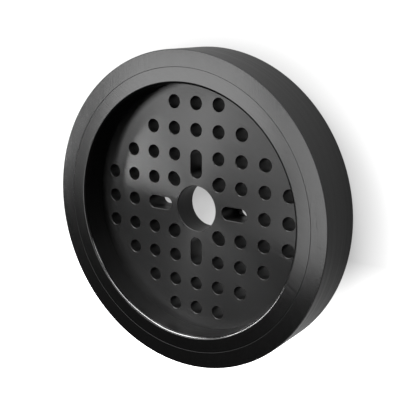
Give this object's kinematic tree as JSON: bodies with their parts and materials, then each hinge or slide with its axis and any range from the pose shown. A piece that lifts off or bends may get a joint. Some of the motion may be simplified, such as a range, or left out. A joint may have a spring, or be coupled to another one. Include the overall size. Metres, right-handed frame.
{
  "type": "robot wheel",
  "caption": "Narrow solid wheel for a small robot car: a recessed perforated disc hub with a central bore, and a smooth bonded rubber tyre.",
  "frame": {"origin": "the wheel's centre: on the spin axis, half way through the width, in the plane of the disc's front face", "axes": "+Z along the spin axis towards the recessed front face, +X and +Y along the rows and columns of the hole grid"},
  "size_m": [0.096, 0.096, 0.016],
  "materials": {
    "hub_plastic": "turned black acetal, satin",
    "tyre_rubber": "ground black rubber, satin"
  },
  "bodies": {
    "root": {"hub": "hub_plastic", "tyre": "tyre_rubber"}
  },
  "joints": []
}
